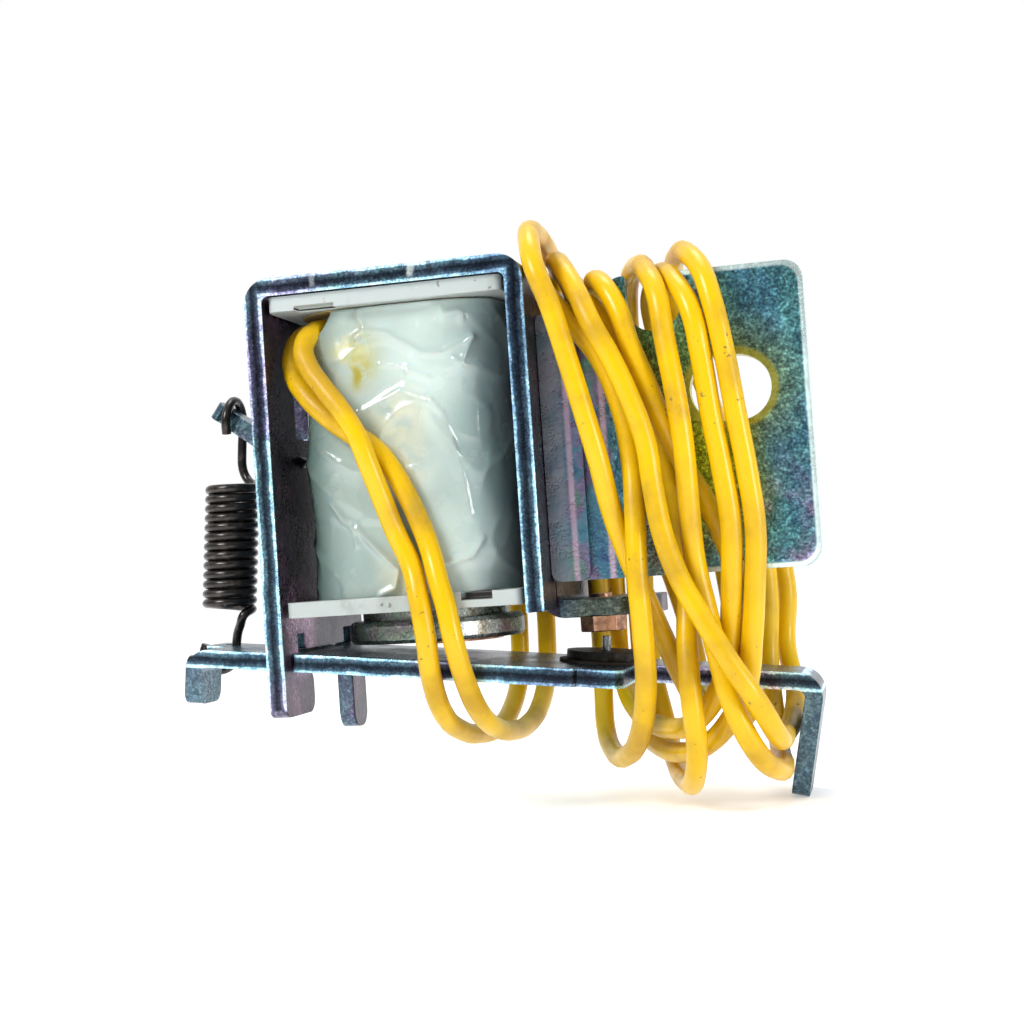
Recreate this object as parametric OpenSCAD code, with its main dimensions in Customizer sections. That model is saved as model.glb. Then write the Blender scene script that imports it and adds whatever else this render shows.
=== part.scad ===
// Hinged-armature solenoid on a steel U frame, with a return spring, a mounting bracket and two leads.
// Millimetres. Pieces are laid out from the middle of the pole face, then moved once so that the origin
// is the middle of the mounting slot on the plate's back face. +Z runs up the core, +X points to the
// plate and -Y is the open front of the coil. The lever is drawn at rest, held open by the spring.

/* [Frame] */
// Thickness of the frame, lever and bracket steel
sheet = 2.4; // [2:0.1:3]
// Clear width between the two legs
frame_inner_w = 33.4; // [32:0.2:38]
// Depth of the frame strip, front to back
frame_depth = 35; // [32:0.5:40]
// Height of the underside of the frame top above the pole face
frame_top = 47.6; // [44:0.2:54]
// Outside radius of the bends
bend_r = 3.4; // [3.2:0.1:4]
// Width of each prong at the foot of the hinge leg
prong_w = 6; // [5:0.5:7]
// How far the front prong reaches below the pole face
front_prong_drop = 8.8; // [7:0.2:11]
// How far the back prong reaches below the pole face
back_prong_drop = 13; // [10:0.2:16]
// Height of the right leg's foot above the pole face
right_foot = 3.3; // [3:0.1:4]

/* [Coil and core] */
// Diameter of the core inside the bobbin
core_d = 13; // [10:0.5:15]
// Diameter of the pole disc
pole_d = 24.6; // [22:0.2:28]
// Thickness of the pole disc
pole_t = 3; // [2.5:0.1:4]
// Thickness of each bobbin flange
flange_t = 2.1; // [1.6:0.1:2.6]
// Width of the bobbin flanges
flange_w = 32.2; // [31:0.2:33]
// Depth of the bobbin flanges
flange_depth = 33.6; // [30:0.2:34.5]
// Outside width of the wound coil
winding_w = 28.6; // [26:0.2:30]

/* [Lever] */
// Tilt of the lever at rest, below level on the bracket side
rest_tilt = 6; // [5.6:0.1:6.6]
// Width of the armature part of the lever
armature_w = 25.8; // [20:0.5:28]
// Distance from the hinge leg's outer face to the end of the armature part
armature_reach = 47.4; // [44:0.2:50]
// Width of the lever's arm beyond the armature
arm_w = 11.5; // [8:0.5:14]
// Distance from the hinge leg's outer face to the outer face of the end tab
arm_reach = 72.5; // [68:0.2:80]
// Length of the end tab, from the top of the arm
tab_drop = 16.4; // [12:0.2:20]
// Length of the tail behind the hinge leg
tail_l = 12.4; // [12:0.2:16]

/* [Return spring] */
// Wire diameter
spring_wire = 1.3; // [1:0.1:1.5]
// Outside diameter of the spring
spring_d = 7.7; // [6:0.1:8.5]
// Number of turns
spring_turns = 13; // [8:1:13]

/* [Bracket] */
// Distance from the core axis to the free edge of the plate
plate_reach = 54.4; // [50:0.2:60]
// Height of the plate's top edge above the pole face
plate_top = 46.5; // [44:0.5:50]
// Height of the plate's bottom edge above the pole face
plate_foot = 6.9; // [6:0.1:8]
// Width of the level mounting slot
slot_w = 8.6; // [5:0.1:10]
// Overall length of the level mounting slot
slot_l = 10.6; // [10.2:0.1:14]
// Width of the open notch in the top edge
notch_w = 7.3; // [5:0.1:9]

/* [Stop] */
// Width across the flats of the stop screw's head
stop_flats = 5.5; // [5:0.1:6]
// Height of the stop screw's head
stop_head = 2.3; // [2:0.1:2.4]
// Diameter of the rubber bumper
bumper_d = 10.8; // [8:0.2:13]
// Thickness of the rubber bumper
bumper_t = 1.2; // [0.9:0.1:1.2]

/* [Leads] */
// Outside diameter of each lead
lead_d = 2.8; // [2:0.1:3]

/* [Hidden] */

eps = 0.01;
gap = 0.1;
zinc = [0.66, 0.71, 0.73];
leg_in = frame_inner_w / 2;
leg_out = leg_in + sheet;
half_depth = frame_depth / 2;
frame_h = frame_top + sheet;

// The lever turns on the lower edge of the hinge leg's tongue
pivot_x = -leg_out;
pivot_z = -0.1;
tongue_foot = pivot_z + gap;
tongue_w = 16.6;
relief_top = 2.2;
lip_reach = 5.7;
lip_top = pivot_z - sheet * tan(rest_tilt) - sheet / cos(rest_tilt) - gap;
prong_in = half_depth - prong_w;

// Spring anchor, lanced out of the hinge leg
lug_w = 5;
lug_y = -4;
lug_foot_z = 26.7;
lug_l = 14.5;
lug_lean = 53;
lug_neck = 11.8;
lug_notch_d = 3.4;
lug_notch_in = 0.9;

// Return spring, laid out from the middle of its bottom turn
spring_r = (spring_d - spring_wire) / 2;
spring_pitch = 1.03;
spring_foot = [-29.3, -4, 6];
spring_lean = 5.4;
foot_eye = [-1.3, 0, -6.3];
foot_eye_r = 2.4;
head_eye_z = 26.4;

// Stop tab, bent out from the foot of the right leg
tab_w = 17;
tab_reach = 13.2;
tab_top = right_foot + 1.1;
tab_corner_r = 6;
stop_x = 23.6;
stop_thread_d = 3;

// Bobbin and coil
flange_foot = pole_t + 1.4;
wrap_t = 0.4;
bobbin_top = frame_top - gap;
winding_h = bobbin_top - flange_foot - 2 * flange_t;
winding_z = flange_foot + flange_t;
bobbin_wall = 1.2;

// Shading ring, set in a groove in the pole face
ring_r = pole_d / 2 - 3;
ring_t = 1.9;
ring_x = 1.5;
ring_deep = 1.6;
ring_play = 0.03;
ring_proud = 0.35;

// Bracket
plate_y = -half_depth + 6;
joggle = 1.2;
strip_w = 5.2;
strip_top = 42.5;
plate_left = 28.4;
slot_x = 44.2;
slot_z = 30.6;
notch_x = 34.9;
notch_foot = 38.9;
bracket_back = 10.5;
rivet_z = [16, 34];
rivet_d = 3;

// Lever
neck_in = 3;
arm_back = 10.4;
armature_front = -14.6;
jog_x = 41.5;
jog = 1;
tail_w = 15;
tail_front = -15;
tail_lug_w = 7;
tail_lug_drop = 7.5;
tail_bend_r = 0.8;
spring_hole_u = -10;
spring_hole_d = 2.4;
bumper_u = (stop_x - pivot_x) / cos(rest_tilt);
rivet_pin_d = 1.2;

// Leads: centre lines from the coil, round the foot of the core and up behind the frame to the hank
splice_d = 2.4;
splice_l = 5;
splice_back = 1.5;
exit_w = 5.8;
exit_h = 7.2;
lead_a_route = [[-10, -10.6, 43.4], [-11.3, -13.2, 42.6], [-11.9, -15.2, 40.4], [-10.8, -16.6, 37.6],
    [-8.4, -18, 34.4], [-5.8, -18.9, 31], [-3.9, -19.2, 27.6], [-2.6, -18.9, 23.6], [-1.5, -17.8, 19.4],
    [-0.3, -16.8, 15], [1.6, -17, 10.4], [2.8, -18.5, 5.8], [3.5, -18.8, 0.6], [3.6, -17.8, -4.4],
    [3.8, -13.8, -9.4], [4.4, -7, -12.4], [5, 0, -13.6], [6, 7, -13.6], [6.8, 13.4, -11.4],
    [7.3, 17.8, -7], [7.4, 19.2, -1], [7.4, 19.4, 6], [7.4, 19.4, 14], [8.4, 19.4, 21], [10, 19.2, 25.6]];
lead_b_route = [[-12.7, -7.6, 43.4], [-14, -9.8, 42.6], [-14.8, -11.4, 40.2], [-14.2, -13, 37.2],
    [-12.2, -15, 34.4], [-9.2, -16.2, 31.2], [-6, -16.2, 28.6], [-2.8, -16.2, 26.4], [-0.6, -16.2, 23.6],
    [1.2, -16.2, 20.2], [2.8, -16.2, 16.4], [4.2, -16.6, 12.4], [5.4, -17.9, 8.2], [6.4, -18.6, 4.6],
    [7.2, -18.8, 0], [8, -17.4, -5], [8.6, -13.4, -9.4], [9.2, -7, -12.2], [9.8, 0, -13.4],
    [10.6, 7, -13.2], [11.2, 13.4, -11], [11.5, 17.8, -6.8], [11.6, 19.2, -1], [11.6, 19.4, 6], [12, 19.2, 13]];
hank_w = 21.8;
hank_lean = 5;
hank_at = [33.5, 0, 15];
hank_front = -19.8;
hank_back = 20.6;
hank_in_front = -14;
hank_in_back = 14;
hank_foot = -33;
hank_in_foot = -29;
hank_in_top = 35.6;
hank_top = 38.8;
hank_face = -hank_w / 2;
lead_a_port = [19.1, 18];
lead_b_port = [19.1, 6];
turn_in = [8.4, 4.4, 1.6, 0];

// ---------- shapes shared by several pieces ----------

// Moves the layout so that the origin is the slot's middle on the plate's back face
module from_slot() {
    translate([-slot_x, -plate_y - joggle - sheet, -slot_z]) children();
}

// Rectangle from p to q with corners rounded to r
module round_rect(p, q, r) {
    translate([p.x + r, p.y]) square([q.x - p.x - 2 * r, q.y - p.y]);
    translate([p.x, p.y + r]) square([q.x - p.x, q.y - p.y - 2 * r]);
    for (x = [p.x + r, q.x - r], y = [p.y + r, q.y - r])
        translate([x, y]) circle(r, $fn = 32);
}

// A flat outline in Y and Z, made l thick along X from x
module along_x(x, l) {
    translate([x, 0, 0]) rotate([90, 0, 90]) linear_extrude(l) children();
}

// A flat outline in X and Z, made l thick along Y from y
module along_y(y, l) {
    translate([0, y + l, 0]) rotate([90, 0, 0]) linear_extrude(l) children();
}

// The lever's own frame: X along the lever from the hinge, top face at zero
module on_lever() {
    translate([pivot_x, 0, pivot_z]) rotate([0, rest_tilt, 0]) children();
}

function unit(v) = v / norm(v);
function tangent(p, i) =
    unit(p[min(i + 1, len(p) - 1)] - p[max(i - 1, 0)]);
// Side vectors carried along a route without twist
function sides(p, i = 0, prev = undef) =
    i >= len(p) ? [] :
    let (t = tangent(p, i),
         s = prev == undef ? (abs(t.z) > 0.9 ? [1, 0, 0] : [0, 0, 1]) : prev,
         n = unit(s - t * (s * t)))
    concat([n], sides(p, i + 1, n));

// Tube of diameter d swept along the points p, with n sides
module tube(p, d, n) {
    side = sides(p);
    pts = [for (i = [0 : len(p) - 1])
        let (u = side[i], v = cross(tangent(p, i), u))
        for (k = [0 : n - 1]) p[i] + d / 2 * (cos(360 * k / n) * u + sin(360 * k / n) * v)];
    skin = [for (i = [0 : len(p) - 2], k = [0 : n - 1])
        [i * n + k, i * n + (k + 1) % n, (i + 1) * n + (k + 1) % n, (i + 1) * n + k]];
    caps = [[for (k = [n - 1 : -1 : 0]) k], [for (k = [0 : n - 1]) (len(p) - 1) * n + k]];
    polyhedron(pts, [for (f = concat(skin, caps)) [for (j = [len(f) - 1 : -1 : 0]) f[j]]]);
}

// ---------- frame ----------

// Top of the frame and both legs, as one bent strip
module frame_profile() {
    difference() {
        round_rect([-leg_out, -frame_h], [leg_out, frame_h], bend_r);
        round_rect([-leg_in, -frame_h - 1], [leg_in, frame_top], bend_r - sheet);
        translate([-leg_out - 1, -frame_h - 2]) square([2 * leg_out + 2, frame_h + 2 + relief_top]);
    }
}

// Foot of the hinge leg: two prongs, the tongue between them and the lip on the front prong
module hinge_foot() {
    round_rect([-half_depth, -front_prong_drop], [-half_depth + prong_w, relief_top + 3], 2);
    round_rect([prong_in, -back_prong_drop], [half_depth, relief_top + 3], 2.4);
    round_rect([-half_depth, -front_prong_drop], [-prong_in + lip_reach, lip_top], 2);
    round_rect([-tongue_w / 2, tongue_foot], [tongue_w / 2, relief_top + 3], 0.5);
    translate([-half_depth, relief_top - eps]) square([frame_depth, 3]);
}

// Stop tab, seen from the front: it leaves the right leg in a bend
module stop_tab_profile() {
    bend_in = bend_r - sheet;
    translate([leg_in, tab_top + bend_in]) square([sheet, 4]);
    translate([leg_in + bend_r, tab_top - sheet]) square([tab_reach - bend_in, sheet]);
    translate([leg_in + bend_r, tab_top + bend_in]) difference() {
        circle(bend_r, $fn = 64);
        circle(bend_in, $fn = 64);
        translate([-bend_r - 1, 0]) square([2 * bend_r + 2, bend_r + 1]);
        translate([0, -bend_r - 1]) square([bend_r + 1, 2 * bend_r + 2]);
    }
}

module frame() {
    tab_relief = 0.6;
    tab_half = tab_w / 2;
    color(zinc) from_slot() difference() {
        union() {
            along_y(-half_depth, frame_depth) frame_profile();
            along_x(-leg_out, sheet) hinge_foot();
            intersection() {
                along_y(-tab_half, tab_w) stop_tab_profile();
                translate([0, 0, -1]) linear_extrude(20)
                    round_rect([leg_in - 8, -tab_half], [leg_out + tab_reach, tab_half], tab_corner_r);
            }
            spring_lug();
        }
        // the right leg ends above the stop tab's bend
        for (s = [-1, 1]) translate([leg_in - 1, s > 0 ? tab_half : -half_depth - 1, relief_top - 1])
            cube([sheet + 1, half_depth + 1 - tab_half, right_foot - relief_top + 1]);
        translate([leg_in - 1, -tab_half, relief_top - 1])
            cube([1, tab_w, 4]);
        for (s = [-1, 1]) translate([leg_in - 1, s * (tab_half + tab_relief / 2) - tab_relief / 2, 0])
            cube([sheet + 2, tab_relief, tab_top + 3]);
        difference() {
            translate([leg_in - eps, -tab_half - eps, relief_top - 1])
                cube([sheet + 2 * eps, tab_w + 2 * eps, tab_top + bend_r - sheet - relief_top + 1]);
            along_y(-tab_half - 1, tab_w + 2) stop_tab_profile();
        }
        // hole for the core's riveted end
        translate([0, 0, frame_top - 1]) cylinder(d = core_d - 4, h = sheet + 2, $fn = 64);
        // holes for the bracket rivets
        for (z = rivet_z) translate([leg_in - 1, 0, z]) rotate([0, 90, 0])
            cylinder(d = rivet_d, h = sheet + 2, $fn = 32);
        // window that the spring lug was lanced from
        translate([-leg_out - 1, lug_y - lug_w / 2 - 0.3, lug_foot_z + 2.4])
            cube([sheet + 2, lug_w + 0.6, lug_l - 1.5]);
        // tapped hole for the stop screw
        translate([stop_x, 0, 0]) cylinder(d = stop_thread_d, h = tab_top + 2, $fn = 32);
    }
}

// Spring anchor lug, with a notch each side for the hook
module spring_lug() {
    translate([-leg_out + sheet, lug_y, lug_foot_z]) rotate([0, -lug_lean, 0])
        translate([-sheet, 0, 0]) difference() {
            along_x(0, sheet) round_rect([-lug_w / 2, -1], [lug_w / 2, lug_l], 1.6);
            for (s = [-1, 1]) translate([-1, s * (lug_w / 2 + lug_notch_d / 2 - lug_notch_in), lug_neck])
                rotate([0, 90, 0]) cylinder(d = lug_notch_d, h = sheet + 2, $fn = 32);
        }
}

// ---------- bracket ----------

module mounting_bracket() {
    flange_x = leg_out + gap;
    color([0.6, 0.7, 0.66]) from_slot() difference() {
        union() {
            // flange along the leg, then the strip beside it
            along_x(flange_x, sheet)
                round_rect([plate_y, plate_foot], [bracket_back, strip_top], 1.5);
            along_y(plate_y, sheet)
                round_rect([flange_x, plate_foot], [flange_x + strip_w, strip_top], 1.2);
            // plate, set back a little from the strip
            along_y(plate_y + joggle, sheet) {
                round_rect([flange_x + 1, plate_foot], [plate_reach, strip_top], 2.4);
                round_rect([plate_left, plate_foot], [plate_reach, plate_top], 2.4);
            }
        }
        // level slot
        for (s = [-1, 1]) translate([slot_x + s * (slot_l - slot_w) / 2, plate_y - 1, slot_z])
            rotate([-90, 0, 0]) cylinder(d = slot_w, h = sheet + joggle + 2, $fn = 64);
        translate([slot_x - (slot_l - slot_w) / 2, plate_y - 1, slot_z - slot_w / 2])
            cube([slot_l - slot_w, sheet + joggle + 2, slot_w]);
        // open notch in the top edge
        translate([notch_x, plate_y - 1, notch_foot + notch_w / 2]) rotate([-90, 0, 0])
            cylinder(d = notch_w, h = sheet + joggle + 2, $fn = 64);
        translate([notch_x - notch_w / 2, plate_y - 1, notch_foot + notch_w / 2])
            cube([notch_w, sheet + joggle + 2, plate_top]);
        for (z = rivet_z) translate([flange_x - 1, 0, z]) rotate([0, 90, 0])
            cylinder(d = rivet_d, h = sheet + 2, $fn = 32);
    }
}

module bracket_rivets() {
    head_d = 5;
    head_t = 0.9;
    color([0.7, 0.72, 0.74]) from_slot() for (z = rivet_z) translate([0, 0, z]) rotate([0, 90, 0]) {
        translate([0, 0, leg_in - head_t]) cylinder(d = head_d, h = head_t, $fn = 32);
        translate([0, 0, leg_in - eps]) cylinder(d = rivet_d - 0.04, h = 2 * sheet + gap + 2 * eps, $fn = 32);
        translate([0, 0, leg_out + gap + sheet]) cylinder(d = head_d, h = head_t, $fn = 32);
    }
}

// ---------- core and coil ----------

module core() {
    collar_d = pole_d - 4;
    chamfer = 0.5;
    color([0.6, 0.62, 0.62]) from_slot() difference() {
        rotate_extrude($fn = 96) polygon([
            [0, 0], [pole_d / 2 - chamfer, 0], [pole_d / 2, chamfer], [pole_d / 2, pole_t - chamfer],
            [pole_d / 2 - chamfer, pole_t], [collar_d / 2, pole_t], [collar_d / 2, flange_foot],
            [core_d / 2, flange_foot], [core_d / 2, frame_top], [core_d / 2 - 2.02, frame_top],
            [core_d / 2 - 2.02, frame_h + 0.3], [core_d / 2 - 2.6, frame_h + 0.9], [0, frame_h + 0.9]]);
        shading_groove(0);
    }
}

// Groove for the shading ring, a D round the bracket side of the pole face
module shading_groove(shrink) {
    ring_w = ring_t - 2 * shrink;
    ring_in = ring_r - ring_t + shrink;
    inner_x = ring_x - shrink;
    translate([0, 0, -1]) linear_extrude(1 + ring_deep - shrink) intersection() {
        difference() {
            union() {
                circle(ring_in + ring_w, $fn = 96);
                translate([inner_x - ring_w, -ring_in - ring_w]) square([ring_w, 2 * (ring_in + ring_w)]);
            }
            intersection() {
                circle(ring_in, $fn = 96);
                translate([inner_x, -ring_in]) square([ring_in, 2 * ring_in]);
            }
        }
        translate([inner_x - ring_w, -pole_d]) square([pole_d, 2 * pole_d]);
    }
}

module shading_ring() {
    color([0.72, 0.42, 0.27]) from_slot() intersection() {
        shading_groove(ring_play);
        translate([-pole_d, -pole_d, -ring_proud]) cube([2 * pole_d, 2 * pole_d, pole_t]);
    }
}

module flange(z) {
    translate([0, 0, z]) linear_extrude(flange_t)
        round_rect([-flange_w / 2, -flange_depth / 2], [flange_w / 2, flange_depth / 2], 1);
}

module bobbin() {
    color([0.93, 0.94, 0.93]) from_slot() difference() {
        union() {
            flange(flange_foot);
            flange(bobbin_top - flange_t);
            translate([0, 0, flange_foot]) cylinder(d = core_d + 2 * bobbin_wall, h = bobbin_top - flange_foot, $fn = 64);
        }
        translate([0, 0, flange_foot - 1]) cylinder(d = core_d + 0.1, h = frame_top, $fn = 64);
        // slots for the ends of the winding
        translate([8, -flange_depth / 2 - 1, winding_z - 1]) cube([4.2, 3.4, 2]);
        translate([-12.4, -flange_depth / 2 - 1, bobbin_top - flange_t - 1]) cube([5.6, 3.4, 1.6]);
    }
}

// Outline of the wound coil, grown by g
module coil_outline(g) {
    half = winding_w / 2 + g;
    round_rect([-half, -half], [half, half], 8 + g);
}

module winding() {
    color([0.72, 0.36, 0.2]) from_slot() difference() {
        translate([0, 0, winding_z + 0.05]) linear_extrude(winding_h - 0.1) coil_outline(0);
        translate([0, 0, winding_z - 1]) cylinder(d = core_d + 2 * bobbin_wall + 0.1, h = winding_h + 2, $fn = 64);
        splice_sleeves(0.1);
        lead_exits();
    }
}

module coil_wrap() {
    color([0.9, 0.93, 0.92]) from_slot() difference() {
        translate([0, 0, winding_z + 0.05]) linear_extrude(winding_h - 0.1) coil_outline(wrap_t + 0.05);
        translate([0, 0, winding_z - 1]) linear_extrude(winding_h + 2) coil_outline(0.05);
        lead_exits();
    }
}

// Openings where the leads come out from under the wrap
module lead_exits() {
    for (p = [lead_a_route[0], lead_b_route[0]])
        translate([p.x - exit_w + 1.8, p.y - 6, p.z - 5.4]) cube([exit_w, 6 + splice_back, exit_h]);
}

// Crimped joints between the winding's ends and the leads, grown by g
module splice_sleeves(g) {
    for (p = [lead_a_route[0], lead_b_route[0]])
        translate([p.x, p.y + splice_back - g, p.z]) rotate([-90, 0, 0])
            cylinder(d = splice_d + 2 * g, h = splice_l + 2 * g, $fn = 32);
}

module lead_splices() {
    color([0.85, 0.8, 0.55]) from_slot() splice_sleeves(0);
}

// ---------- lever ----------

// Plan of the lever, without its tabs
module lever_plan() {
    arm_front = arm_back - arm_w;
    armature_back = armature_front + armature_w;
    difference() {
        union() {
            round_rect([-tail_l, tail_front], [neck_in + 2, tail_front + tail_w], 1.5);
            round_rect([neck_in, armature_front], [jog_x, armature_back], 1.5);
            round_rect([neck_in + 4, armature_front + jog], [armature_reach, arm_back], 1.5);
            translate([-1, -prong_in + 0.3]) square([neck_in + 4, armature_back + prong_in - 0.3]);
            translate([armature_reach - 4, arm_front]) square([arm_reach - armature_reach + 4 - bend_r, arm_w]);
        }
        // the tail's end is bent down here
        translate([-tail_l - 1, tail_front - 1]) square([1 + tail_bend_r + sheet, tail_lug_w + 1]);
        // notch for the front prong
        translate([-0.5, tail_front - 1]) square([neck_in + 0.5, 1 - tail_front - prong_in + 0.3]);
        translate([spring_hole_u, lug_y]) circle(d = spring_hole_d, $fn = 32);
        translate([bumper_u, 0]) circle(d = rivet_pin_d + 1.2, $fn = 32);
    }
}

module lever() {
    color(zinc) from_slot() on_lever() {
        translate([0, 0, -sheet]) linear_extrude(sheet) lever_plan();
        end_tab();
        tail_lug();
    }
}

// Tab bent down from the end of the arm, a little past square
module end_tab() {
    over_bend = 6;
    bend_in = bend_r - sheet;
    translate([arm_reach - bend_r, arm_back, -bend_r]) rotate([90, 0, 0]) {
        linear_extrude(arm_w) difference() {
            circle(bend_r, $fn = 64);
            circle(bend_in, $fn = 64);
            translate([-2 * bend_r, -bend_r - 1]) square([2 * bend_r, 2 * bend_r + 2]);
            rotate(-over_bend) translate([-1, -2 * bend_r]) square([2 * bend_r + 1, 2 * bend_r]);
        }
        rotate([0, 0, -over_bend]) translate([bend_in, -tab_drop + bend_r, 0]) difference() {
            cube([sheet, tab_drop - bend_r + eps, arm_w]);
            for (z = [0, arm_w]) translate([-1, 0, z]) rotate([0, 90, 0])
                difference() {
                    cube([4, 4, 2 * sheet + 4], center = true);
                    translate([z > 0 ? 2 : -2, 2, 0]) cylinder(r = 2, h = 20, center = true, $fn = 32);
                }
        }
    }
}

// Lug bent down from the front of the tail's end
module tail_lug() {
    bend_in = tail_bend_r;
    outer = bend_in + sheet;
    translate([-tail_l + outer, tail_front + tail_lug_w, -outer]) rotate([90, 0, 0]) {
        linear_extrude(tail_lug_w) difference() {
            circle(outer, $fn = 64);
            circle(bend_in, $fn = 64);
            translate([0, -outer - 1]) square([outer + 1, 2 * outer + 2]);
            translate([-outer - 1, -outer - 1]) square([outer + 2, outer + 1]);
        }
        translate([-outer, -tail_lug_drop + outer, 0]) round_lug();
    }
}

module round_lug() {
    corner = 1.6;
    rotate([90, 0, 90]) linear_extrude(sheet)
        round_rect([0, 0], [tail_lug_drop - 1, tail_lug_w], corner);
}

// ---------- bumper and stop ----------

module bumper_washer() {
    color([0.2, 0.2, 0.2]) from_slot() on_lever() translate([bumper_u, 0, 0]) difference() {
        cylinder(d = bumper_d + 2, h = 0.4, $fn = 64);
        translate([0, 0, -1]) cylinder(d = rivet_pin_d + 0.1, h = 3, $fn = 32);
    }
}

module bumper_pad() {
    color([0.13, 0.13, 0.13]) from_slot() on_lever() translate([bumper_u, 0, 0.4]) difference() {
        cylinder(d = bumper_d, h = bumper_t, $fn = 64);
        translate([0, 0, -1]) cylinder(d = rivet_pin_d + 0.1, h = 4, $fn = 32);
    }
}

// Rivet that holds the bumper; its nose runs up into the hollow stop screw
module bumper_rivet() {
    color([0.6, 0.6, 0.6]) from_slot() on_lever() translate([bumper_u, 0, 0]) {
        translate([0, 0, -sheet - 0.7]) cylinder(d = 3.4, h = 0.7, $fn = 32);
        translate([0, 0, -sheet - eps]) cylinder(d = rivet_pin_d + 1.1, h = sheet, $fn = 32);
        translate([0, 0, -0.1]) cylinder(d = rivet_pin_d, h = 3.7, $fn = 32);
    }
}

module stop_screw() {
    bore_d = 2.6;
    color([0.72, 0.45, 0.3]) from_slot() translate([stop_x, 0, 0]) difference() {
        union() {
            translate([0, 0, tab_top - sheet - stop_head]) rotate(15)
                cylinder(d = stop_flats / cos(30), h = stop_head, $fn = 6);
            translate([0, 0, tab_top - sheet - eps]) cylinder(d = stop_thread_d - 0.04, h = sheet + 0.5, $fn = 32);
        }
        translate([0, 0, tab_top - sheet - stop_head - 1]) cylinder(d = bore_d, h = 3.6, $fn = 32);
    }
}

// ---------- spring ----------

// Point a degrees round the spring at height z
function turn_at(a, z) = [spring_r * cos(a), spring_r * sin(a), z];

module return_spring() {
    steps = 12;
    coil = [for (k = [0 : spring_turns * steps])
        turn_at(360 * k / steps, spring_wire * spring_pitch * k / steps)];
    coil_top = coil[len(coil) - 1].z;
    foot_hook = [for (a = [150 : 30 : 360]) foot_eye + foot_eye_r * [cos(a), 0, sin(a)]];
    head_hook = [for (a = [0 : 30 : 210]) [0, spring_r * cos(a), head_eye_z + spring_r * sin(a)]];
    color([0.16, 0.14, 0.13]) from_slot() translate(spring_foot) rotate([0, spring_lean, 0])
        tube(concat(foot_hook, [[1.3, 0, -3.6], [2.1, -0.9, -2], turn_at(-30, -0.7)], coil,
            [turn_at(30, coil_top + 0.3), [1.2, 2.9, coil_top + 1], [0.2, 3.2, coil_top + 2.6],
            [0, spring_r, coil_top + 5]], head_hook), spring_wire, 8);
}

// ---------- leads ----------

// From the hank's own frame to the layout
function from_hank(p) = hank_at + [p.x * cos(hank_lean) - p.z * sin(hank_lean), p.y,
    p.x * sin(hank_lean) + p.z * cos(hank_lean)];

// Last bend of a lead, into the hank's side face at the port
function into_hank(port) = [for (x = turn_in)
    from_hank([hank_face - x, port.x, port.y - pow(max(0, x - 1.6), 2) / 14])];

module lead_a() {
    color([0.9, 0.82, 0.15]) from_slot() tube(concat(lead_a_route, into_hank(lead_a_port)), lead_d, 8);
}

module lead_b() {
    color([0.9, 0.82, 0.15]) from_slot() tube(concat(lead_b_route, into_hank(lead_b_port)), lead_d, 8);
}

// Outer shape of the coiled length of both leads, hung round the plate and the lever's arm
module lead_hank() {
    color([0.9, 0.82, 0.15]) from_slot() translate(hank_at) rotate([0, -hank_lean, 0])
        along_x(hank_face, hank_w) difference() {
            round_rect([hank_front, hank_foot], [hank_back, hank_top], 10);
            round_rect([hank_in_front, hank_in_foot], [hank_in_back, hank_in_top], 6);
        }
}

frame();
mounting_bracket();
bracket_rivets();
core();
shading_ring();
bobbin();
winding();
coil_wrap();
lead_splices();
lever();
return_spring();
stop_screw();
bumper_washer();
bumper_pad();
bumper_rivet();
lead_a();
lead_b();
lead_hank();
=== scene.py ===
"""Looks of a hinged-armature solenoid: a wound coil in a plated steel U frame, a lever that it pulls up,
a return spring, a mounting plate and two long leads hung over the plate."""

import math

import bmesh
import bpy
from mathutils import Matrix, Quaternion, Vector, noise


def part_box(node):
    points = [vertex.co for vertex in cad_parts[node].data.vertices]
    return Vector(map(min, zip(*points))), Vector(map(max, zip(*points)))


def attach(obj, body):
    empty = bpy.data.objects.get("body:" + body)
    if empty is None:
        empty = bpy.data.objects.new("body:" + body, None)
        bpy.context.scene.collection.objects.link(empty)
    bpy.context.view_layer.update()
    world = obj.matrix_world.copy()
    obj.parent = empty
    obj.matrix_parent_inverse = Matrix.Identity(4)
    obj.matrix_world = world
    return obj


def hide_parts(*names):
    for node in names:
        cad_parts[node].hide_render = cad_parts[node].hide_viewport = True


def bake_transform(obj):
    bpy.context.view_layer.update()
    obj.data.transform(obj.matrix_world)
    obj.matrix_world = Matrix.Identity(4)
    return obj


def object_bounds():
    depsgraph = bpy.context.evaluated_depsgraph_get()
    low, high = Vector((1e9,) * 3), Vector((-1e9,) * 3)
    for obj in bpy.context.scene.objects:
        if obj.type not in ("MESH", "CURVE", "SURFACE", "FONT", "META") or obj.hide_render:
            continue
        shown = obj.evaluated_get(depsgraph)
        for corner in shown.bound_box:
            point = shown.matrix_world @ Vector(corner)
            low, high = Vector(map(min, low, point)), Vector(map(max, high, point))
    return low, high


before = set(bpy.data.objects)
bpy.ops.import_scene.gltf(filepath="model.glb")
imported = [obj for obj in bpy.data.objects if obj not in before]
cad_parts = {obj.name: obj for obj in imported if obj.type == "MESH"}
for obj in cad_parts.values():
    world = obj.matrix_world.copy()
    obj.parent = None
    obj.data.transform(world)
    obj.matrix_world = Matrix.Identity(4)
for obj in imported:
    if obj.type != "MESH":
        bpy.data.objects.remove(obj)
cad_low, cad_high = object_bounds()

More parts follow.
